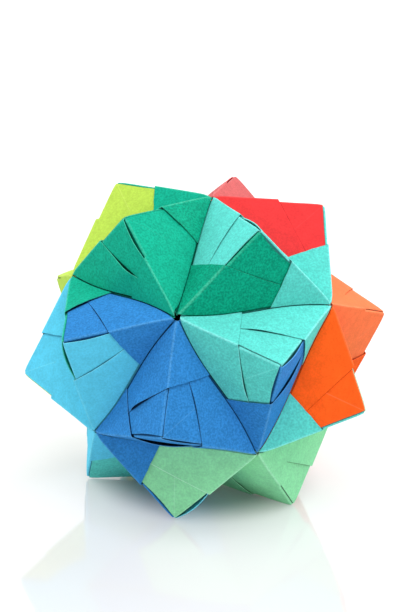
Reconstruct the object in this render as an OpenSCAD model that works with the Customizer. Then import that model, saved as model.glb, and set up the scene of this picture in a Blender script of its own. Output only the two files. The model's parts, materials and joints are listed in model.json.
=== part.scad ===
// Paper ball of thirty folded units, one on each edge of an icosahedron. Each unit
// tucks its two tabs into its neighbours' pockets, so that a three-sided pyramid
// with square corners stands on every face.

/* [Paper] */
// Side of the square sheet that each unit is folded from
sheet_side = 75; // [60:1:120]
// Thickness of the folded sheet that lies under the pockets
base_thick = 0.25; // [0.2:0.05:0.4]
// Thickness of a tab beside its folded-over layer
tab_thick = 0.25; // [0.2:0.05:0.4]
// Thickness of the folded-over layer that makes the pocket flap
flap_thick = 0.15; // [0.1:0.05:0.25]

/* [Fit] */
// Gap between layers that lie on each other
layer_gap = 0.05; // [0.03:0.01:0.1]
// Gap between a tab's cut edge and the middle of the valley it lies along
seam_gap = 0.1; // [0.05:0.05:0.3]
// Gap between two sheets that meet at a ridge
ridge_gap = 0.1; // [0.05:0.05:0.3]
// Distance from each sheet's pointed corner to where five units would meet
corner_gap = 0.9; // [0.8:0.1:2]

/* [Pose] */
// Turn of the ball about the vertical, from an upper corner straight in front
ball_turn = -11.6; // [-36:0.1:36]

/* [Hidden] */
// Colours of the papers
dark_green = "#0a9975";
emerald = "#16c09a";
turquoise = "#6fe0d0";
blue = "#3a8ad0";
sky_blue = "#55bbdc";
light_green = "#7acb95";
lime = "#ccef5d";
yellow = "#f4d64e";
orange = "#fb6a26";
salmon = "#f77a4c";
red = "#fb4244";
rose = "#f77f80";

// Paper of each unit in its ring, from the front corner round to the right
top_papers = [dark_green, turquoise, red, rose, emerald];
upper_papers = [turquoise, salmon, red, lime, emerald];
waist_down_papers = [blue, orange, red, lime, sky_blue];
waist_up_papers = [turquoise, salmon, yellow, lime, blue];
lower_papers = [light_green, orange, lime, sky_blue, blue];
bottom_papers = [light_green, light_green, lime, turquoise, sky_blue];

sides = 5;
steps = [for (i = [0:sides - 1]) i];

// A unit's leg runs from a corner of the ball to a pyramid's tip
leg = sheet_side / (2 * sqrt(2));
edge = leg * sqrt(2);
ball_radius = edge * sin(72);

// The pocket flap runs this far along its ridge and as far along its valley, and the
// line of its free edge halves the angle at the tab's tip
flap_reach = leg * (2 - sqrt(2));
flap_slope = sqrt(2) - 1;

// Angle from a valley's middle plane to each face beside it
face_inradius = edge * (3 + sqrt(5)) / (4 * sqrt(3));
half_valley = 90 + atan2(edge / (2 * sqrt(3)), face_inradius) - acos(1 / sqrt(3));

// Levels above a pyramid's face
tab_low = layer_gap;
tab_mid = tab_low + tab_thick;
tab_top = tab_mid + flap_thick;
flap_low = tab_top + layer_gap;
flap_top = flap_low + flap_thick;

// Distances from a valley's line, measured on the face
base_overrun = base_thick / 2 / tan(half_valley);
flap_middle = (flap_low + flap_top) / 2;
flap_setback = flap_middle / tan(half_valley);
tab_setback = (flap_thick / 2 + seam_gap + tab_top * cos(half_valley)) / sin(half_valley);

// Keeps the part of a convex outline where normal * point is at most limit
function clipped(outline, normal, limit) =
    [for (i = [0:len(outline) - 1])
        let (p = outline[i], q = outline[(i + 1) % len(outline)],
            p_over = normal * p - limit, q_over = normal * q - limit)
        each [
            if (p_over <= 0) p,
            if (p_over * q_over < 0) p + (q - p) * p_over / (p_over - q_over)
        ]];

function behind_valley(outline, setback) =
    clipped(outline, [-1, 1] / sqrt(2), -setback);

// Outlines on a face: x runs from the unit's own corner to the tip, y on to the far corner
wide_triangle = [[-leg, -tab_top], [leg, -tab_top], [leg, leg * 2]];
base_outline = clipped(clipped(clipped(
    behind_valley(clipped(wide_triangle, [0, -1], tab_low + tab_thick / 2), -base_overrun),
    [1, 0], leg - base_thick - ridge_gap), [-1, 0], -corner_gap), [0, 1], leg - corner_gap);
flap_outline = clipped(clipped(
    behind_valley(wide_triangle, flap_setback), [-1, 0], -corner_gap),
    [1, flap_slope], flap_reach);

// Outlines on the tab, which is folded down over the ridge: y runs back to the tab's tip
tab_triangle = [[0, 0], [leg, -leg], [leg, 0]];
tab_outline = clipped(clipped(clipped(
    tab_triangle, [-1, -1] / sqrt(2), -tab_setback), [-1, 0], -corner_gap),
    [0, -1], leg - corner_gap);
tab_layer_outline = clipped(tab_outline, [1, flap_slope], flap_reach);
wall_outline = [[corner_gap, -base_thick], [flap_reach, -base_thick],
    [flap_reach, flap_top], [corner_gap, flap_top]];

// Places a child drawn on a face: from corner a over the tip to corner b of a unit
tip_out = edge / 2 * sin(half_valley);
tip_up = edge / 2 * cos(half_valley);
along_own_ridge = [edge / 2, -tip_out, tip_up] / leg;
along_far_ridge = [edge / 2, tip_out, -tip_up] / leg;
face_normal = cross(along_own_ridge, along_far_ridge);

module on_face() {
    multmatrix([for (k = [0:2]) [along_own_ridge[k], along_far_ridge[k], face_normal[k],
        k == 0 ? -edge / 2 : 0]])
        children();
}

module sheet(outline, low, high) {
    translate([0, 0, low])
        linear_extrude(high - low)
            polygon(outline);
}

module half_unit() {
    on_face() {
        sheet(base_outline, -base_thick, 0);
        sheet(flap_outline, flap_low, flap_top);
        rotate([90, 0, 0]) {
            sheet(tab_outline, tab_low, tab_mid);
            sheet(tab_layer_outline, tab_low, tab_top);
            sheet(wall_outline, tab_mid, tab_top);
        }
    }
    crease(flap_reach - corner_gap, flap_middle / sin(half_valley));
}

// Upright plies along the valley, from the unit's own corner
module crease(length, top) {
    translate([corner_gap - edge / 2, -flap_thick / 2, -base_thick])
        cube([length, flap_thick, base_thick + top]);
}

module folded_unit() {
    half_unit();
    rotate([0, 0, 180])
        half_unit();
    crease(edge - 2 * corner_gap, -base_thick / 4);
}

// Corners of the icosahedron, upright: the top one, two rings of five and the bottom one
ring_radius = ball_radius * 2 / sqrt(5);
ring_height = ball_radius / sqrt(5);
function ring_corner(turn, height) =
    [ring_radius * cos(turn), ring_radius * sin(turn), height];
upper_turns = [for (i = steps) ball_turn - 90 + i * 360 / sides];
lower_turns = [for (t = upper_turns) t + 180 / sides];
upright_top = [0, 0, ball_radius];
upright_bottom = [0, 0, -ball_radius];
upright_upper = [for (t = upper_turns) ring_corner(t, ring_height)];
upright_lower = [for (t = lower_turns) ring_corner(t, -ring_height)];

function edge_frame(from, to) =
    let (x = (to - from) / norm(to - from), z = (from + to) / norm(from + to))
    [x, cross(z, x), z, (from + to) / 2];
function in_frame(frame, p) = frame[3] + p.x * frame[0] + p.y * frame[1] + p.z * frame[2];

// Outer corners of one unit, for finding what the ball stands on
face_corners = concat(
    [for (p = flap_outline) [p.x, p.y, flap_top]],
    [for (p = wall_outline) [p.x, -tab_top, p.y]],
    [for (p = tab_layer_outline) [p.x, -tab_top, p.y]],
    [for (p = tab_outline) [p.x, -tab_mid, p.y]]);
half_corners = [for (p = face_corners)
    [-edge / 2, 0, 0] + p.x * along_own_ridge + p.y * along_far_ridge + p.z * face_normal];
unit_corners = concat(half_corners, [for (p = half_corners) [-p.x, -p.y, p.z]]);

function next(i) = (i + 1) % sides;
function edges_of(top, upper, lower, bottom) = concat(
    [for (i = steps) [top, upper[i]]],
    [for (i = steps) [upper[i], upper[next(i)]]],
    [for (i = steps) [upper[i], lower[i]]],
    [for (i = steps) [lower[i], upper[next(i)]]],
    [for (i = steps) [lower[i], lower[next(i)]]],
    [for (i = steps) [bottom, lower[i]]]);
function corners_of(edges) =
    [for (e = edges) let (frame = edge_frame(e[0], e[1]))
        for (p = unit_corners) in_frame(frame, p)];

// The ball leans from its bottom corner onto two of the pyramids beside it
lean_turn = lower_turns[0];
lean_way = [cos(lean_turn), sin(lean_turn), 0];
lean_axis = [-sin(lean_turn), cos(lean_turn), 0];
upright_corners = corners_of(
    edges_of(upright_top, upright_upper, upright_lower, upright_bottom));
upright_low = min([for (p = upright_corners) p.z]);
lean = min([for (p = upright_corners) let (reach = p * lean_way)
    if (reach > leg / 4) atan2(p.z - upright_low, reach)]);
function leaned(p) = p * cos(lean) + cross(lean_axis, p) * sin(lean)
    + lean_axis * (lean_axis * p) * (1 - cos(lean));
top_corner = leaned(upright_top);
bottom_corner = leaned(upright_bottom);
upper_corners = [for (p = upright_upper) leaned(p)];
lower_corners = [for (p = upright_lower) leaned(p)];

// Stands the ball on the origin's level with its box centred over the origin
resting_corners = corners_of(
    edges_of(top_corner, upper_corners, lower_corners, bottom_corner));
function middle(axis) = (min([for (p = resting_corners) p[axis]])
    + max([for (p = resting_corners) p[axis]])) / 2;
rest_shift = [-middle(0), -middle(1), -min([for (p = resting_corners) p.z])];

module unit_between(from, to, paper) {
    frame = edge_frame(from, to);
    color(paper)
        multmatrix([for (k = [0:2])
            [frame[0][k], frame[1][k], frame[2][k], frame[3][k] + rest_shift[k]]])
            folded_unit();
}

module top_unit(i) {
    unit_between(top_corner, upper_corners[i], top_papers[i]);
}

module upper_unit(i) {
    unit_between(upper_corners[i], upper_corners[next(i)], upper_papers[i]);
}

module waist_down_unit(i) {
    unit_between(upper_corners[i], lower_corners[i], waist_down_papers[i]);
}

module waist_up_unit(i) {
    unit_between(lower_corners[i], upper_corners[next(i)], waist_up_papers[i]);
}

module lower_unit(i) {
    unit_between(lower_corners[i], lower_corners[next(i)], lower_papers[i]);
}

module bottom_unit(i) {
    unit_between(bottom_corner, lower_corners[i], bottom_papers[i]);
}

for (i = steps) {
    top_unit(i);
    upper_unit(i);
    waist_down_unit(i);
    waist_up_unit(i);
    lower_unit(i);
    bottom_unit(i);
}
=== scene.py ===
import json
import math
import random

import bpy
import numpy as np
from mathutils import Matrix, Vector


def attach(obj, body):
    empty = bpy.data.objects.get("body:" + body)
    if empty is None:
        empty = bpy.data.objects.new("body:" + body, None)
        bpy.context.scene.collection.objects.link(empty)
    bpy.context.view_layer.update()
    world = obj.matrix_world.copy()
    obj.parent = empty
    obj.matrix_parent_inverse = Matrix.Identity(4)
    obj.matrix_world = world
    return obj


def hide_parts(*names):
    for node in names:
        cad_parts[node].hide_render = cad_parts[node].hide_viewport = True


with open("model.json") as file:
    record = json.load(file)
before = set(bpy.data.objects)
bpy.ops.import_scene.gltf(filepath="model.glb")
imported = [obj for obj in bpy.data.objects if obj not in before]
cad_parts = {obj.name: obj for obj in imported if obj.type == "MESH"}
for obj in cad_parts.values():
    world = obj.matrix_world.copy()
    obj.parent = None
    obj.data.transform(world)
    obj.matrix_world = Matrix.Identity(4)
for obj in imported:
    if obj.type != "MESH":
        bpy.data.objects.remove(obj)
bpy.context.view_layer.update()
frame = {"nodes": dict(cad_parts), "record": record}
mm = 0.001

# The ball: where its corners and tips lie
ball = {
    "sheetSide": 75 * mm,
    "seed": 30,
    "tipReach": 0.3 * mm,           # how far the tips stand out past true cube corners
    "hole": 0.22 * mm,              # opening left where five units meet
    "wideHoles": {"upper1": 0.70 * mm, "upper2": 0.25 * mm},
    "wobble": 0.10 * mm,            # unevenness of the whole ball, from folding by hand
    "wobbleLength": 19 * mm,
    "wobbleWaves": [                # the way and the start of each wave
        ((1.9, 0.7, -1.3), 0.4),
        ((-0.8, 2.1, 1.1), 2.2),
        ((1.2, -1.5, 1.7), 4.1),
    ],
    # how far single corners and tips were pushed, to the right and up
    "pushed": {
        ("upper2",): (0.6 * mm, 0.0),
        ("lower5",): (-0.4 * mm, 0.4 * mm),
        ("bottom",): (0.0, 1.9 * mm),   # gives way under the ball's weight
        ("upper1", "lower5", "lower1"): (0.2 * mm, -0.2 * mm),
        ("upper1", "lower1", "upper2"): (-0.7 * mm, 0.3 * mm),
        ("upper2", "lower2", "lower1"): (0.3 * mm, 0.6 * mm),
        ("lower1", "lower2", "bottom"): (-0.4 * mm, -0.2 * mm),
        ("lower5", "lower1", "bottom"): (0.3 * mm, 0.1 * mm),
        ("top", "upper5", "upper4"): (0.1 * mm, 0.0),
        ("lower5", "bottom", "lower4"): (-0.4 * mm, 0.0),
    },
}
leg = ball["sheetSide"] / math.sqrt(8)              # from a corner to a tip
edge = leg * math.sqrt(2)                           # from a corner to the next
ballRadius = edge * math.sin(math.radians(72))      # from the middle to a corner
faceInradius = edge * (3 + math.sqrt(5)) / (4 * math.sqrt(3))
tipRadius = faceInradius + edge / math.sqrt(6)
# half the angle between the two faces at a valley
halfValley = math.pi / 2 + math.atan2(edge / math.sqrt(12), faceInradius) - math.acos(1 / math.sqrt(3))


def placeUnits():
    ends = {}
    for i in range(1, 6):
        after = i % 5 + 1
        ends[f"top_unit_{i}"] = ("top", f"upper{i}")
        ends[f"upper_unit_{i}"] = (f"upper{i}", f"upper{after}")
        ends[f"waist_down_unit_{i}"] = (f"upper{i}", f"lower{i}")
        ends[f"waist_up_unit_{i}"] = (f"lower{i}", f"upper{after}")
        ends[f"lower_unit_{i}"] = (f"lower{i}", f"lower{after}")
        ends[f"bottom_unit_{i}"] = ("bottom", f"lower{i}")
    return ends


def unitMiddle(node):
    faces = frame["nodes"][node].data.polygons
    areas = np.zeros(len(faces))
    middles = np.zeros(len(faces) * 3)
    faces.foreach_get("area", areas)
    faces.foreach_get("center", middles)
    return areas @ middles.reshape(-1, 3) / areas.sum()


def unitVector(v):
    return v / np.linalg.norm(v)


def pushOf(names):
    for pushed, (right, up) in ball["pushed"].items():
        if set(pushed) == set(names):
            return np.array((right, 0, up))
    return np.zeros(3)


unitEnds = placeUnits()
middles = {node: unitMiddle(node) for node in unitEnds}
ballMiddle = sum(middles.values()) / len(middles)
trueCorners = {}
for name in sorted({end for ends in unitEnds.values() for end in ends}):
    towards = sum(middles[node] - ballMiddle for node, ends in unitEnds.items() if name in ends)
    trueCorners[name] = ballMiddle + unitVector(towards) * ballRadius
corners = {name: place + pushOf((name,)) for name, place in trueCorners.items()}


# The corner that comes after own and far, clockwise from outside
def thirdCorner(own, far):
    joined = {frozenset(ends) for ends in unitEnds.values()}
    for name, place in trueCorners.items():
        if frozenset((own, name)) in joined and frozenset((far, name)) in joined:
            a, b = trueCorners[own], trueCorners[far]
            if np.dot(np.cross(b - a, place - a), a - ballMiddle) < 0:
                return name


def tipOver(*names):
    outwards = unitVector(sum(trueCorners[name] - ballMiddle for name in names))
    return ballMiddle + outwards * (tipRadius + ball["tipReach"]) + pushOf(names)


print(f"corners: {len(corners)} placed, ball radius {ballRadius / mm:.2f} mm, "
      f"tips at {tipRadius / mm:.2f} mm")

# One unit, flat: x runs from its own corner along the ridge, y across the ridge onto the face,
# and below zero onto the tab
flapReach = leg * (2 - math.sqrt(2))    # pocket flap along its ridge
flapSlope = math.sqrt(2) - 1            # slant of its free edge
sheet = {
    "gridStep": 0.9 * mm,
    "underPly": 0.20 * mm,              # folded sheet under the pockets, and the tab
    "topPly": 0.13 * mm,                # layer folded over it, which makes the pocket flap
    "cornerGap": 0.35 * mm,             # where a pointed sheet is blunt
    "ridgeGap": 0.35 * mm,              # where a tab stops short of the next ridge
    "seamGap": 0.36 * mm,               # where a tab's cut edge stops short of the valley
    "valleyGap": -0.15 * mm,            # the under sheet goes a little past the valley
    "flapValleyGap": 0.08 * mm,         # and the flap stops a little short of it
    "underFold": 0.24 * mm,             # outer radius of the folded ridge
    "topFold": 0.30 * mm,
    "ridgeLines": (-1, -0.5, 0, 0.5, 1),        # lines that let the ridge bend round
    "edgeLines": (0.4 * mm, 1.0 * mm),          # lines that let the free edge lift
    "smoothAngle": 32,
}


def onlySelect(thing):
    bpy.ops.object.select_all(action="DESELECT")
    thing.select_set(True)
    bpy.context.view_layer.objects.active = thing


def bisectAll(point, normal, clear):
    bpy.ops.mesh.select_all(action="SELECT")
    bpy.ops.mesh.bisect(plane_co=(*point, 0), plane_no=(*normal, 0), clear_outer=clear)


def markMesh(mesh, name, values, domain="POINT"):
    kind, field = ("FLOAT_VECTOR", "vector") if values.ndim > 1 else ("FLOAT", "value")
    mesh.attributes.new(name, kind, domain).data.foreach_set(field, values.ravel())


def markAll(mesh, name, value):
    markMesh(mesh, name, np.full(len(mesh.vertices), value))


def cutSheet(name, ply, valleyGap, foldRadius, isTop):
    bpy.ops.object.select_all(action="DESELECT")
    cells = round(2 * leg / sheet["gridStep"])
    bpy.ops.mesh.primitive_grid_add(x_subdivisions=cells, y_subdivisions=cells, size=2 * leg)
    cut = bpy.context.object
    cut.name = name
    root2 = math.sqrt(2)
    outline = [
        ((valleyGap * root2, 0), (-1, 1)),
        ((sheet["seamGap"] * root2, 0), (-1, -1)),
        ((leg - sheet["ridgeGap"], 0), (1, 0)),
        ((sheet["cornerGap"], 0), (-1, 0)),
        ((0, sheet["cornerGap"] - leg), (0, -1)),
        ((0, leg - sheet["cornerGap"]), (0, 1)),
    ]
    if isTop:
        outline.append(((flapReach, 0), (1, flapSlope)))
    bpy.ops.object.mode_set(mode="EDIT")
    for point, normal in outline:
        bisectAll(point, normal, True)
    for share in sheet["ridgeLines"]:
        bisectAll((0, share * foldRadius * math.pi / 4), (0, 1), False)
    if isTop:
        for inset in sheet["edgeLines"]:
            bisectAll((flapReach - inset, 0), (1, flapSlope), False)
    bpy.ops.object.mode_set(mode="OBJECT")
    wall = cut.modifiers.new("ply", "SOLIDIFY")
    wall.thickness = ply
    wall.offset = -1
    bpy.ops.object.modifier_apply(modifier=wall.name)
    markAll(cut.data, "isTop", float(isTop))
    return cut


def flatPlaces(mesh):
    places = np.zeros(len(mesh.vertices) * 3)
    mesh.vertices.foreach_get("co", places)
    return places.reshape(-1, 3)


def makeBlank():
    under = cutSheet("underSheet", sheet["underPly"], sheet["valleyGap"], sheet["underFold"], False)
    top = cutSheet("topSheet", sheet["topPly"], sheet["flapValleyGap"], sheet["topFold"], True)
    onlySelect(under)
    top.select_set(True)
    bpy.ops.object.join()
    mesh = under.data
    markMesh(mesh, "sheetPlace", flatPlaces(mesh))
    normals = np.zeros(len(mesh.polygons) * 3)
    mesh.polygons.foreach_get("normal", normals)
    facesUp = np.abs(normals.reshape(-1, 3)[:, 2]) > 0.5
    markMesh(mesh, "cutEdge", np.where(facesUp, 0.0, 1.0), "FACE")

    # the unit's other half is the same again
    onlySelect(under)
    bpy.ops.object.duplicate()
    other = bpy.context.object
    markAll(under.data, "otherHalf", 0.0)
    markAll(other.data, "otherHalf", 1.0)
    onlySelect(under)
    other.select_set(True)
    bpy.ops.object.join()
    bpy.ops.object.shade_smooth_by_angle(angle=math.radians(sheet["smoothAngle"]))
    under.name = "unitBlank"
    return under


blank = makeBlank()
print(f"blank: {len(blank.data.vertices)} points, {len(blank.data.polygons)} faces")

# How the sheets lie on each other, and what the folding by hand leaves uneven
fold = {
    "tabMid": 0.30 * mm,                # height of a tab above the face under it
    "tabTop": 0.45 * mm,                # height of the layer on the tab
    "flapTop": 0.65 * mm,               # height of a pocket flap above its face
    "sway": 0.55 * mm,                  # valleys bow to one side and back
    "swayReach": 7 * mm,
    "straighter": {frozenset(("top", "upper1")): 0.3},      # valleys with only a share of the sway
    "puff": 0.35 * mm,                  # faces are a little full
    "blunt": 0.45 * mm,                 # tips are rubbed round
    "holeReach": 5 * mm,                # how far a wide hole draws its sheets back
    "underHole": 0.6 * mm,              # how much wider the hole in the sheets underneath is
    "dip": 0.5 * mm,                    # ends turned down into the holes
    "dipReach": 1.4 * mm,
    "slitSpread": 3.0 * mm,             # how far in from its edge each of these moves
    "flapSpread": 2.0 * mm,
    "tabSpread": 1.8 * mm,
    "seamSpread": 1.5 * mm,
    "flapClear": 0.7 * mm,              # a slit stays shut this near to the next unit's flap
    "hangSpread": 9 * mm,               # how far in from its edge a hanging tab bends
    "hangReach": 4 * mm,                # and how far down from the ridge
}
# how far the folded ridge takes each sheet in from where it lay flat
bendTake = 1 - math.pi / 4
flapDrop = fold["flapTop"] - sheet["topFold"] * bendTake
underDrop = sheet["underFold"] * bendTake
flapSet = fold["tabTop"] - sheet["topFold"] * bendTake

# The papers
papers = {
    "dark_green_paper": (0.003, 0.318, 0.193),
    "emerald_paper": (0.006, 0.368, 0.236),
    "turquoise_paper": (0.101, 0.591, 0.530),
    "blue_paper": (0.030, 0.212, 0.540),
    "sky_blue_paper": (0.101, 0.565, 0.785),
    "light_green_paper": (0.255, 0.695, 0.368),
    "lime_paper": (0.430, 0.615, 0.078),
    "yellow_paper": (0.750, 0.560, 0.060),
    "orange_paper": (0.890, 0.105, 0.012),
    "salmon_paper": (0.887, 0.179, 0.063),
    "red_paper": (0.756, 0.040, 0.042),
    "rose_paper": (0.519, 0.106, 0.106),
}
paperFinish = {
    "fibreSize": 0.45 * mm,
    "fibreDetail": 4,
    "fibreShade": (0.84, 1.11),         # darkest and palest fibres
    "fibreShare": {                     # papers whose fibres show more or less
        "dark_green_paper": 2.0,
        "emerald_paper": 1.4,
        "blue_paper": 1.2,
        "sky_blue_paper": 0.55,
        "light_green_paper": 0.6,
        "lime_paper": 0.6,
        "orange_paper": 0.5,
        "salmon_paper": 0.4,
        "red_paper": 0.5,
    },
    "mottleSize": 2.4 * mm,
    "mottleDetail": 3,
    "mottleShade": (0.95, 1.04),
    "creaseWidth": 0.55 * mm,           # rubbed band along a ridge
    "creaseRub": 0.16,
    "rubShare": {                       # papers that rub off more
        "emerald_paper": 1.6,
        "dark_green_paper": 1.4,
        "turquoise_paper": 2.2,
    },
    "rubFibres": (0.25, 0.6),           # low fibres are rubbed least, and high ones fully
    "rubLeast": 0.45,
    "rubFade": (0.8, 1.05),             # where along the ridge the rub fades, in flap lengths
    "rubFaded": 0.6,                    # and how much of it is left there
    "markWidth": 0.28 * mm,             # faint line of an old fold, from the tip across the tab
    "markRub": 0.14,
    "lipHighlightBand": 0.30 * mm,              # painted highlight band along a slit's edge, on some halves
    "rubAndHighlightGain": 2.2,                  # how much brighter than the paper a rubbed place or a painted highlight is, and how much white shows through it
    "rubAndHighlightWhite": 0.2,                 # how much white shows through it
    "edgePale": 0.22,                   # how pale the cut edges are, partly their own paler colour and partly a painted highlight
    "mouthShadeWidth": 0.24 * mm,            # painted shade, a dim band where a sheet goes in under another
    "tuckedShadeDepth": (0.30 * mm, 0.55 * mm),      # how far in a tucked sheet gets painted shade
    "tuckedShade": 0.7,
    "valleyClear": (0.7 * mm, 1.5 * mm),        # but not this near to a valley
    "bumpHeight": 0.014 * mm,
    "bumpStrength": 0.6,
    "roughness": 0.62,
    "gloss": 0.03,
}
noiseRange = (0.3, 0.7)                 # nearly all of a noise texture lies between these


class NodeBench:                        # short ways to add and join one material's nodes
    def __init__(self, material):
        material.use_nodes = True
        self.tree = material.node_tree
        self.shader = self.tree.nodes["Principled BSDF"]

    def add(self, kind, **settings):
        node = self.tree.nodes.new(kind)
        for name, value in settings.items():
            setattr(node, name, value)
        return node

    def feed(self, socket, value):      # from another node, or with a fixed value
        if isinstance(value, bpy.types.NodeSocket):
            self.tree.links.new(value, socket)
        else:
            socket.default_value = value

    def math(self, operation, first, second=0.0):
        node = self.add("ShaderNodeMath", operation=operation)
        self.feed(node.inputs[0], first)
        self.feed(node.inputs[1], second)
        return node.outputs[0]

    def times(self, first, second):
        return self.math("MULTIPLY", first, second)

    def larger(self, first, second):
        return self.math("MAXIMUM", first, second)

    def noise(self, place, size, detail):
        node = self.add("ShaderNodeTexNoise")
        self.feed(node.inputs["Vector"], place)
        self.feed(node.inputs["Scale"], 1 / size)
        self.feed(node.inputs["Detail"], detail)
        return node.outputs["Fac"]

    def spread(self, value, within, onto):      # a smooth step from one pair of values onto another
        node = self.add("ShaderNodeMapRange", interpolation_type="SMOOTHSTEP")
        self.feed(node.inputs["Value"], value)
        for name, number in zip(("From Min", "From Max", "To Min", "To Max"), (*within, *onto)):
            self.feed(node.inputs[name], number)
        return node.outputs["Result"]

    def mix(self, share, first, second):
        node = self.add("ShaderNodeMix", data_type="RGBA")
        for place, value in ((0, share), (6, first), (7, second)):      # the colour sockets
            self.feed(node.inputs[place], value)
        return node.outputs[2]

    def mark(self, name):
        return self.add("ShaderNodeAttribute", attribute_name=name).outputs["Fac"]

    def markParts(self, name):
        parts = self.add("ShaderNodeSeparateXYZ")
        marks = self.add("ShaderNodeAttribute", attribute_name=name)
        self.feed(parts.inputs[0], marks.outputs["Vector"])
        return parts.outputs


# What the mesh tells about each point of a sheet
def sheetMarks(bench):
    along, across, _ = bench.markParts("sheetPlace")
    oldFold, slitShade, flapShade = bench.markParts("oldFoldAndShadeMarks")
    return {
        "along": along,
        "across": across,
        "acrossTab": bench.math("SUBTRACT", along, across),
        "slitSide": bench.math("ADD", along, bench.times(across, flapSlope)),
        "oldFold": oldFold,
        "slitShade": slitShade,
        "flapShade": flapShade,
        "isTop": bench.mark("isTop"),
        "seamShadeAndLipHighlight": bench.mark("seamShadeAndLipHighlight"),
        "cutEdge": bench.mark("cutEdge"),
    }


def shadedPaper(bench, slot, place, fibre):
    share = paperFinish["fibreShare"].get(slot, 1.0)
    fibreShade = [1 + (limit - 1) * share for limit in paperFinish["fibreShade"]]
    mottle = bench.noise(place, paperFinish["mottleSize"], paperFinish["mottleDetail"])
    shade = bench.times(
        bench.spread(fibre, noiseRange, fibreShade),
        bench.spread(mottle, noiseRange, paperFinish["mottleShade"]))
    body = bench.add("ShaderNodeHueSaturation")
    bench.feed(body.inputs["Color"], (*papers[slot], 1))
    bench.feed(body.inputs["Value"], shade)
    return body.outputs["Color"]


def rubAndHighlightShare(bench, slot, fibre, marks):
    finish = paperFinish
    # along the ridges, broken up by the fibres
    most = finish["creaseRub"] * finish["rubShare"].get(slot, 1.0)
    fromCrease = bench.math("ABSOLUTE", marks["across"])
    crease = bench.spread(fromCrease, (0.0, finish["creaseWidth"]), (most, 0.0))
    crease = bench.times(crease, bench.spread(fibre, finish["rubFibres"], (finish["rubLeast"], 1.0)))
    fade = [flapReach * share for share in finish["rubFade"]]
    crease = bench.times(crease, bench.spread(marks["along"], fade, (1.0, finish["rubFaded"])))

    # on the line of an old fold across the tab
    fromFold = bench.math("ABSOLUTE", bench.math("SUBTRACT", marks["acrossTab"], leg))
    oldFold = bench.spread(fromFold, (0.0, finish["markWidth"]), (finish["markRub"], 0.0))
    oldFold = bench.times(oldFold, marks["oldFold"])

    # painted highlight on a slit's lip, which the top sheet has on the tab
    lip = bench.spread(marks["slitSide"], (flapReach - finish["lipHighlightBand"], flapReach), (0.0, 1.0))
    onTab = bench.times(marks["isTop"], bench.math("LESS_THAN", marks["across"], 0.0))
    lip = bench.times(bench.times(lip, onTab), marks["seamShadeAndLipHighlight"])
    return bench.larger(bench.larger(crease, oldFold), lip)


# Painted shade where a sheet goes in under its own flap, under the next unit's flap or under a tab
def paintedPocketShade(bench, marks):
    finish = paperFinish
    width = finish["mouthShadeWidth"] * math.hypot(1, flapSlope)
    ownEdge = flapReach + flapSlope * (flapDrop + underDrop)
    underOwn = bench.math("ADD", marks["slitSide"], bench.times(marks["isTop"], leg))
    ownMouth = bench.spread(underOwn, (ownEdge, ownEdge + width), (1.0, 0.0))
    nextEdge = flapReach - leg * (1 + flapSlope) - flapSlope * flapSet + underDrop
    underNext = bench.math("SUBTRACT", marks["across"], bench.times(marks["along"], flapSlope))
    underNext = bench.math("ADD", underNext, bench.times(marks["isTop"], flapDrop + underDrop))
    nextMouth = bench.spread(underNext, (nextEdge, nextEdge + width), (1.0, 0.0))
    mouth = bench.larger(
        bench.times(marks["slitShade"], ownMouth),
        bench.times(marks["flapShade"], nextMouth))

    # painted shade on under sheets further in, and at the valley only where the seam is given painted
    # shade
    isUnder = bench.math("SUBTRACT", 1.0, marks["isTop"])
    tucked = bench.spread(marks["across"], finish["tuckedShadeDepth"], (0.0, finish["tuckedShade"]))
    clear = bench.larger(
        bench.spread(marks["acrossTab"], finish["valleyClear"], (0.0, 1.0)),
        marks["seamShadeAndLipHighlight"])
    mouth = bench.larger(mouth, bench.times(bench.times(tucked, isUnder), clear))
    return bench.times(mouth, bench.math("SUBTRACT", 1.0, marks["cutEdge"]))


def paperMaterial(slot):
    material = bpy.data.materials.new(slot.replace("_paper", "FoldedPaper").replace("_", ""))
    bench = NodeBench(material)
    place = bench.add("ShaderNodeTexCoord").outputs["Object"]
    fibre = bench.noise(place, paperFinish["fibreSize"], paperFinish["fibreDetail"])
    marks = sheetMarks(bench)
    gain, white = paperFinish["rubAndHighlightGain"], paperFinish["rubAndHighlightWhite"]
    pale = (*(min(part * gain + white, 1) for part in papers[slot]), 1)
    colour = shadedPaper(bench, slot, place, fibre)
    # pale where rubbed along ridges and old folds, and painted highlight on slit lips
    colour = bench.mix(rubAndHighlightShare(bench, slot, fibre, marks), colour, pale)
    # pale cut edges, partly a painted highlight
    colour = bench.mix(bench.times(marks["cutEdge"], paperFinish["edgePale"]), colour, pale)
    # painted shade: mixed towards black where a sheet goes in under another
    colour = bench.mix(paintedPocketShade(bench, marks), colour, (0.0, 0.0, 0.0, 1))
    bump = bench.add("ShaderNodeBump")
    bench.feed(bump.inputs["Strength"], paperFinish["bumpStrength"])
    bench.feed(bump.inputs["Distance"], paperFinish["bumpHeight"])
    bench.feed(bump.inputs["Height"], fibre)
    bench.feed(bench.shader.inputs["Base Color"], colour)
    bench.feed(bench.shader.inputs["Normal"], bump.outputs["Normal"])
    bench.feed(bench.shader.inputs["Roughness"], paperFinish["roughness"])
    bench.feed(bench.shader.inputs["Specular IOR Level"], paperFinish["gloss"])
    return material


paperMaterials = {slot: paperMaterial(slot) for slot in papers}
print(f"papers: {len(paperMaterials)} materials")

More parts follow.
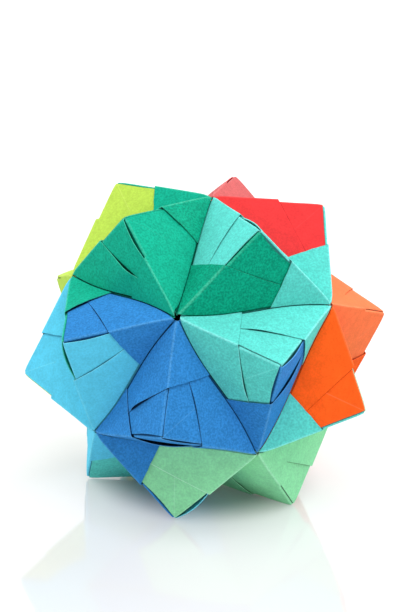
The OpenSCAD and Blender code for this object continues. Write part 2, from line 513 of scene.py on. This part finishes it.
# Least and most that a half unit gets: how high its slit, flap and tab stand open, where along them,
# how far its tab is drawn back, how steeply it hangs open, how clear its old fold is, and how dark the
# painted shade lines are where it goes in under its own flap and under the next one
usualHand = {
    "slitLift": (0.05 * mm, 0.25 * mm),
    "slitSkew": (0.6, 2.0),
    "flapLift": (0.03 * mm, 0.15 * mm),
    "flapSkew": (0.7, 1.5),
    "tabLift": (0.03 * mm, 0.18 * mm),
    "tabBow": (0.05 * mm, 0.35 * mm),
    "tabHang": (0.0, 0.0),              # on this ball none hangs open
    "marked": (0.0, 1.0),
    "slitShade": (0.4, 0.9),
    "flapShade": (0.1, 0.6),
}
# What few halves have: a seam that is drawn back, one with painted shade, and a slit with a painted
# highlight on its lip
rareHand = {"seamPull": 0.0, "paintedSeamShade": 0.0, "paintedLipHighlight": 0.0}
# Halves that came out their own way, each from its own corner to the far one
ownHands = {
    ("upper5", "top"): {
        "slitLift": 0.70 * mm, "slitSkew": 2.8, "tabLift": 0.25 * mm, "tabBow": 0.34 * mm,
        "marked": 0, "slitShade": 0.85, "flapShade": 0, "paintedLipHighlight": 0.1},
    ("upper1", "upper5"): {
        "slitLift": 0.05 * mm, "marked": 0.3, "slitShade": 0, "flapShade": 0.35, "seamPull": 0.34 * mm},
    ("top", "upper1"): {
        "slitLift": 0.0, "flapLift": 0.15 * mm, "flapSkew": 1.1, "slitShade": 0.1, "paintedSeamShade": 1.0},
    ("upper5", "upper1"): {
        "flapLift": 0.32 * mm, "flapSkew": 0.6, "tabLift": 0.65 * mm, "tabBow": 0.3 * mm},
    ("upper1", "lower5"): {
        "slitLift": 0.32 * mm, "slitSkew": 1.0, "slitShade": 0.85, "flapShade": 0.8},
    ("lower5", "upper5"): {
        "slitLift": 0.30 * mm, "slitSkew": 1.2, "tabLift": 0.15 * mm, "tabBow": 0.30 * mm,
        "marked": 0, "slitShade": 0.5, "flapShade": 0.2, "paintedLipHighlight": 0.2},
    ("upper1", "lower1"): {
        "slitLift": 0.80 * mm, "slitSkew": 2.6, "flapLift": 0.25 * mm,
        "tabLift": 0.2 * mm, "tabBow": 0.30 * mm,
        "marked": 0, "slitShade": 0.85, "flapShade": 0.7},
    ("lower1", "lower5"): {
        "slitLift": 0.28 * mm, "slitSkew": 2.0, "tabLift": 0.05 * mm, "tabBow": -0.15 * mm,
        "marked": 0.6, "slitShade": 0.7, "flapShade": 0.6},
    ("lower5", "upper1"): {
        "slitLift": 0.70 * mm, "slitSkew": 1.0, "tabLift": 0.20 * mm, "slitShade": 0.9},
    ("upper2", "lower1"): {
        "slitLift": 0.32 * mm, "slitSkew": 2.2, "tabLift": 0.08 * mm, "tabBow": -0.14 * mm,
        "marked": 0.2, "slitShade": 0.85, "flapShade": 0.5},
    ("upper1", "upper2"): {
        "slitLift": 0.48 * mm, "slitSkew": 2.6, "flapLift": 0.22 * mm,
        "tabLift": 0.25 * mm, "tabBow": 0.30 * mm,
        "marked": 1.0, "slitShade": 0.85, "flapShade": 0.5, "paintedLipHighlight": 0.2},
    ("lower1", "lower2"): {"tabLift": 0.05 * mm, "tabBow": 0.1 * mm, "slitShade": 0.3},
    ("lower2", "bottom"): {"tabLift": 0.05 * mm, "tabBow": 0.0},
    ("upper3", "lower2"): {"tabLift": 0.03 * mm, "tabBow": 0.0, "slitShade": 0.3, "flapShade": 0.1},
    ("upper2", "upper3"): {"slitShade": 0.3, "flapShade": 0.1},
    ("lower1", "upper1"): {"slitLift": 0.50 * mm, "slitSkew": 1.0, "tabLift": 0.40 * mm},
    ("upper1", "top"): {
        "slitLift": 0.30 * mm, "slitSkew": 2.4, "tabBow": 0.50 * mm,
        "marked": 0, "slitShade": 0.45, "flapShade": 0.2},
    ("top", "upper2"): {
        "slitLift": 0.20 * mm, "tabLift": 0.12 * mm, "tabBow": 0.08 * mm,
        "marked": 0, "slitShade": 0.3, "flapShade": 0.2},
    ("top", "upper3"): {"slitLift": 0.10 * mm, "marked": 0.25, "slitShade": 0.8, "flapShade": 0.2},
    ("top", "upper5"): {"slitLift": 0.12 * mm, "slitShade": 0.5},
    ("upper2", "upper1"): {"tabLift": 0.50 * mm},
    ("bottom", "lower5"): {"tabLift": 0.80 * mm},
    ("bottom", "lower4"): {"tabLift": 0.03 * mm, "tabBow": 0.0, "flapShade": 0.15},
    ("lower1", "bottom"): {
        "slitLift": 0.20 * mm, "slitSkew": 1.0, "tabBow": 0.45 * mm,
        "slitShade": 0.2, "flapShade": 0.1, "paintedLipHighlight": 0.4},
    ("upper2", "lower2"): {"slitLift": 0.18 * mm, "marked": 1.0, "slitShade": 0.5, "flapShade": 0.2},
}
chance = random.Random(ball["seed"])


def handOf(own, far):                   # what one half of a unit got from the folding
    drawn = {name: chance.uniform(*limits) for name, limits in usualHand.items()}
    return {**rareHand, **drawn, **ownHands.get((own, far), {})}


def smoothRise(value, width):
    share = np.clip(value / width, 0, 1)
    return share * share * (3 - 2 * share)


def liftsOf(r, s, isTop, hand):
    slant = math.hypot(1, flapSlope)
    down = np.maximum(-s, 0)            # how far down the tab
    fromEdge = np.maximum(flapReach - r - flapSlope * s, 0) / slant
    fromFlap = (leg - down + flapSlope * (leg - r) - flapReach) / slant
    alongSlit = np.clip(down / (leg / 2), 0, 1)
    slit = (hand["slitLift"] * np.sin(math.pi * alongSlit ** hand["slitSkew"])
            * np.exp(-(fromEdge / fold["slitSpread"]) ** 2) * smoothRise(fromFlap, fold["flapClear"]))
    alongFlap = np.clip(s / (flapSlope * leg), 0, 1)
    flap = (hand["flapLift"] * np.sin(math.pi * alongFlap ** hand["flapSkew"])
            * np.exp(-(fromEdge / fold["flapSpread"]) ** 2))
    alongTab = np.clip(down / (flapSlope * leg), 0, 1)
    tab = np.sin(math.pi * alongTab) * np.exp(-((leg - r) / fold["tabSpread"]) ** 2)
    hang = (hand["tabHang"] * down * np.exp(-(down / fold["hangReach"]) ** 2)
            * np.exp(-((leg - r) / fold["hangSpread"]) ** 2))
    lift = hang + np.where(isTop, np.where(s < 0, slit, flap), hand["tabLift"] * tab)
    pulledBack = np.where(isTop, 0, hand["tabBow"] * tab)
    return lift, pulledBack


def drawnBack(r, s, isTop, own, hand):  # from the seam, and from the hole at its own corner
    pull = hand["seamPull"] * np.exp(-((r + s) / fold["seamSpread"]) ** 2) * (s < 0) / math.sqrt(2)
    r, s = r + pull, np.where(s < 0, np.minimum(s + pull, 0), s)
    hole = ball["wideHoles"].get(own, ball["hole"]) - sheet["cornerGap"]
    hole = hole + np.where(isTop, 0, fold["underHole"])
    fromCorner = np.hypot(r, s)
    drawn = 1 + hole * smoothRise(fold["holeReach"] - fromCorner, fold["holeReach"]) / fromCorner
    return r * drawn, s * drawn


def roundRidge(s, n, isTop):            # from the face onto the tab
    faceLevel = np.where(isTop, fold["flapTop"], 0)
    tabLevel = np.where(isTop, fold["tabTop"], fold["tabMid"])
    radius = np.where(isTop, sheet["topFold"], sheet["underFold"])
    quarter = radius * math.pi / 4
    turn = math.pi / 4 - np.clip(s / radius, -math.pi / 4, math.pi / 4)
    y = -tabLevel + radius - (radius + n) * np.sin(turn) + np.maximum(s - quarter, 0)
    z = faceLevel - radius + (radius + n) * np.cos(turn) - np.maximum(-s - quarter, 0)
    return y, z


# Moves points on a face, at x and y from its first corner: the face is full, and its valley bows
def bowFace(points, x, y, xWay, yWay, outWay, sway):
    shares = [np.clip(share, 0, 1) for share in (1 - x / leg, (x - y) / leg, y / leg)]
    fullness = 27 * shares[0] * shares[1] * shares[2]       # 1 where all three are a third
    alongValley = np.clip((x + y) / (2 * leg), 0, 1)
    fromValley = (x - y) / math.sqrt(2)
    bow = sway * np.sin(2 * math.pi * alongValley) * np.exp(-(fromValley / fold["swayReach"]) ** 2)
    sideways = math.sin(halfValley) * (xWay - yWay) / math.sqrt(2) - math.cos(halfValley) * outWay
    return points + outWay * (fold["puff"] * fullness)[:, None] + sideways * bow[:, None]


def turnDown(points, name):             # ends turned down into the hole at a corner
    inWay = unitVector(ballMiddle - corners[name])
    away = np.linalg.norm(points - corners[name], axis=1)
    return points + np.outer(fold["dip"] * np.exp(-(away / fold["dipReach"]) ** 2), inWay)


def rubTip(points, tip):
    tipWay = unitVector(tip - ballMiddle)
    depth = (tip - points) @ tipWay
    rubbed = fold["blunt"] * np.logaddexp(0, depth / fold["blunt"])
    return points + np.outer(depth - rubbed, tipWay)


def swayOf(a, b):
    return fold["sway"] * fold["straighter"].get(frozenset((a, b)), 1.0)


def foldHalf(flat, isTop, own, far, hand):
    third = thirdCorner(own, far)
    tip = tipOver(own, far, third)
    alongOwn, alongFar, alongThird = ((tip - corners[name]) / leg for name in (own, far, third))
    r, s, n = flat.T                    # along the ridge, across it, and out of the sheet
    lift, pulledBack = liftsOf(r, s, isTop, hand)
    r, s = drawnBack(r, s, isTop, own, hand)
    r = r - pulledBack
    y, z = roundRidge(s, n + lift, isTop)
    points = tip + np.outer(r - leg, alongOwn) - np.outer(y, alongFar) + np.outer(z, alongThird)

    # the tab lies on the next face, which starts at the third corner
    onFace = s >= 0
    x = np.where(onFace, r, leg + z)
    y = np.where(onFace, np.maximum(y, 0), leg - r)
    sway = np.where(onFace, swayOf(own, far), swayOf(third, own))
    xWay = np.where(onFace[:, None], alongOwn, alongThird)
    yWay = np.where(onFace[:, None], -alongFar, -alongOwn)
    outWay = np.where(onFace[:, None], alongThird, alongFar)
    points = bowFace(points, x, y, xWay, yWay, outWay, sway)
    for name in (own, far, third):
        points = turnDown(points, name)
    return rubTip(points, tip)


def wobbled(points):
    waves = points / ball["wobbleLength"]
    swell = sum(np.sin(waves @ way + start) for way, start in ball["wobbleWaves"])
    outWay = points - ballMiddle
    outWay = outWay / np.linalg.norm(outWay, axis=1)[:, None]
    return points + outWay * (ball["wobble"] * swell)[:, None]


def isMarked(name):
    values = np.zeros(len(blank.data.vertices))
    blank.data.attributes[name].data.foreach_get("value", values)
    return values > 0.5


def foldUnit(node):
    own, far = unitEnds[node]
    unit = blank.copy()
    unit.data = blank.data.copy()
    words = node.split("_")
    unit.name = "folded" + "".join(word.capitalize() for word in words if word != "unit")
    unit.data.name = unit.name
    bpy.context.scene.collection.objects.link(unit)
    points = np.zeros_like(flatPoints)
    marks = np.zeros_like(flatPoints)
    paintedSeamsAndLips = np.zeros(len(flatPoints))
    for mine, a, b in ((~otherHalf, own, far), (otherHalf, far, own)):
        hand = handOf(a, b)
        points[mine] = foldHalf(flatPoints[mine], isTop[mine], a, b, hand)
        # old fold, and how strong the painted shade is at the slit and flap mouths
        marks[mine] = [hand[name] for name in ("marked", "slitShade", "flapShade")]
        marks[mine & isTop, 0] = 0              # old folds show on the under sheet alone
        # painted shade along the seam on the under sheet, painted highlight on the slit lip of the top
        # sheet
        paintedSeamsAndLips[mine] = hand["paintedSeamShade"]
        paintedSeamsAndLips[mine & isTop] = hand["paintedLipHighlight"]
    unit.data.vertices.foreach_set("co", wobbled(points).ravel())
    markMesh(unit.data, "oldFoldAndShadeMarks", marks)
    markMesh(unit.data, "seamShadeAndLipHighlight", paintedSeamsAndLips)
    unit.data.update()
    slot = slotOf[node]
    unit.data.materials.clear()
    unit.data.materials.append(paperMaterials[slot])
    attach(unit, "root")
    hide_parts(node)
    return unit


flatPoints = flatPlaces(blank.data)
isTop = isMarked("isTop")
otherHalf = isMarked("otherHalf")
slotOf = {part["node"]: part["material_slot"] for part in frame["record"]["subparts"]}
units = [foldUnit(node) for node in unitEnds]
bpy.data.objects.remove(blank)
print(f"units: {len(units)} folded")

# Table, light and camera
table = {
    "radius": 0.45,
    "sides": 96,
    "colour": (0.40, 0.40, 0.40),
    "glow": (0.04, 0.38),               # painted glow, as if lit from below, but little where the ball stands, which paints the contact shadow
    "glowMiddle": (0, 4 * mm, 0),
    "glowReach": (16 * mm, 31 * mm),
    "roughness": (0.05, 0.09),
    "grain": 40 * mm,
    "grainDetail": 2,
    "ior": 1.6,
}
lights = {
    "overFront": {"place": (0.06, -0.36, 0.89), "size": 0.9, "power": 9.2},
    "leftBack": {"place": (-0.78, 0.40, 0.55), "size": 0.9, "power": 5.9},
    "rightBack": {"place": (0.68, 0.45, 0.60), "size": 0.9, "power": 9.3},
    "left": {"place": (-0.95, -0.10, 0.30), "size": 0.9, "power": 3.4},
    "lowFront": {"place": (0.0, -1.0, 0.12), "size": 0.9, "power": 1.8},
    "lowRight": {"place": (0.80, -0.60, 0.12), "size": 0.9, "power": 3.5},
}
room = {
    "walls": 1.6,                       # brightness of the white room that the table reflects
}
camera = {
    "aim": (-0.5 * mm, 2.3 * mm, 44.9 * mm),
    "distance": 466.3 * mm,
    "azimuth": 0.41,
    "elevation": 15.09,
    "roll": 1.78,
    "lens": 114.75,
    "nearest": 10 * mm,
}


def tableMaterial():
    material = bpy.data.materials.new("polishedTable")
    bench = NodeBench(material)
    place = bench.add("ShaderNodeTexCoord").outputs["Object"]
    grain = bench.noise(place, table["grain"], table["grainDetail"])
    # painted glow, fading near the ball into a painted contact shadow
    fromMiddle = bench.add("ShaderNodeVectorMath", operation="DISTANCE")
    bench.feed(fromMiddle.inputs[0], place)
    bench.feed(fromMiddle.inputs[1], table["glowMiddle"])
    glow = bench.spread(fromMiddle.outputs["Value"], table["glowReach"], table["glow"])
    bench.feed(bench.shader.inputs["Roughness"], bench.spread(grain, noiseRange, table["roughness"]))
    bench.feed(bench.shader.inputs["Base Color"], (*table["colour"], 1))
    bench.feed(bench.shader.inputs["IOR"], table["ior"])
    bench.feed(bench.shader.inputs["Emission Color"], (1, 1, 1, 1))
    bench.feed(bench.shader.inputs["Emission Strength"], glow)
    return material


def layTable():
    bpy.ops.object.select_all(action="DESELECT")
    bpy.ops.mesh.primitive_circle_add(
        vertices=table["sides"], radius=table["radius"], fill_type="NGON")
    top = bpy.context.object
    top.name = "tableTop"
    # the bottom corner has given way, so the table meets the lower tips all round
    upright = unitVector(trueCorners["top"] - trueCorners["bottom"])
    lowTips = [tipOver("bottom", f"lower{i}", f"lower{i % 5 + 1}") for i in range(1, 6)]
    level = min((tip - ballMiddle) @ upright for tip in lowTips)
    turn = Vector((0, 0, 1)).rotation_difference(Vector(upright)).to_matrix().to_4x4()
    top.data.transform(Matrix.Translation(ballMiddle + level * upright) @ turn)
    top.data.materials.append(tableMaterial())


def hangLight(name, look):
    lamp = bpy.data.lights.new(name, "AREA")
    lamp.shape = "DISK"
    lamp.size = look["size"]
    lamp.energy = look["power"]
    holder = bpy.data.objects.new(name, lamp)
    bpy.context.scene.collection.objects.link(holder)
    holder.location = look["place"]
    towards = Vector(ballMiddle) - holder.location
    holder.rotation_euler = towards.to_track_quat("-Z", "Y").to_euler()


def paintRoom():
    world = bpy.data.worlds.new("whiteRoom")
    world.use_nodes = True
    background = world.node_tree.nodes["Background"]
    background.inputs["Color"].default_value = (1, 1, 1, 1)
    background.inputs["Strength"].default_value = room["walls"]
    bpy.context.scene.world = world
    world.cycles_visibility.diffuse = False         # the lamps and the table's painted glow shade the papers, not the room
    bpy.context.scene.view_settings.view_transform = "Standard"


def setCamera():
    lens = bpy.data.cameras.new("viewer")
    lens.lens = camera["lens"]
    lens.clip_start = camera["nearest"]
    holder = bpy.data.objects.new("viewer", lens)
    bpy.context.scene.collection.objects.link(holder)
    turn = (Matrix.Rotation(math.radians(camera["azimuth"]), 4, "Z")
            @ Matrix.Rotation(math.radians(90 - camera["elevation"]), 4, "X")
            @ Matrix.Rotation(math.radians(camera["roll"]), 4, "Z"))
    place = Vector(camera["aim"]) + turn @ Vector((0, 0, camera["distance"]))
    holder.matrix_world = Matrix.Translation(place) @ turn
    bpy.context.scene.camera = holder


layTable()
for name, look in lights.items():
    hangLight(name + "Light", look)
paintRoom()
setCamera()
print("stage: table, lights and camera set")
